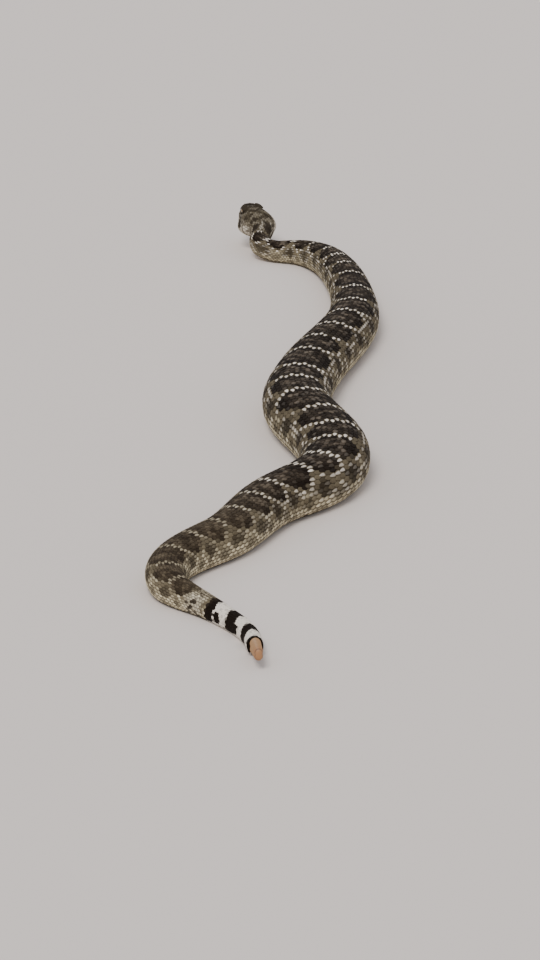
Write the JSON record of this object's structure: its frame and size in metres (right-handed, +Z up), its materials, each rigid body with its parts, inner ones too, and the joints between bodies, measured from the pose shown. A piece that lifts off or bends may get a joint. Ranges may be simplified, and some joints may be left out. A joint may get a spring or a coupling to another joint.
{
  "type": "western diamondback rattlesnake",
  "caption": "Life-size still figure of an adult rattlesnake crawling in slow curves on level ground, head lifted a little and rattle raised.",
  "frame": {"origin": "on the ground, under the middle of the snake's bounding box", "axes": "+Y along the snake's overall length, from rattle to head; +Z up"},
  "size_m": [0.2064, 1.1604, 0.0459],
  "materials": {
    "skin_head": "dry scaled skin, grey olive brown",
    "skin_jaw": "dry scaled skin, cream",
    "skin_back": "dry keeled scales, brown diamonds with pale edges",
    "skin_tail": "dry keeled scales, ash white with black rings",
    "horn": "horn, tan to red brown, slightly polished",
    "eye": "moist and glossy, golden brown"
  },
  "bodies": {
    "root": {"head": "skin_head", "lower_jaw": "skin_jaw", "eye_left": "eye", "eye_right": "eye", "neck": "skin_back", "body_1": "skin_back", "body_2": "skin_back", "body_3": "skin_back", "body_4": "skin_back", "body_5": "skin_back", "body_6": "skin_back", "body_7": "skin_back", "body_8": "skin_back", "tail": "skin_tail", "rattle": "horn"}
  },
  "joints": []
}
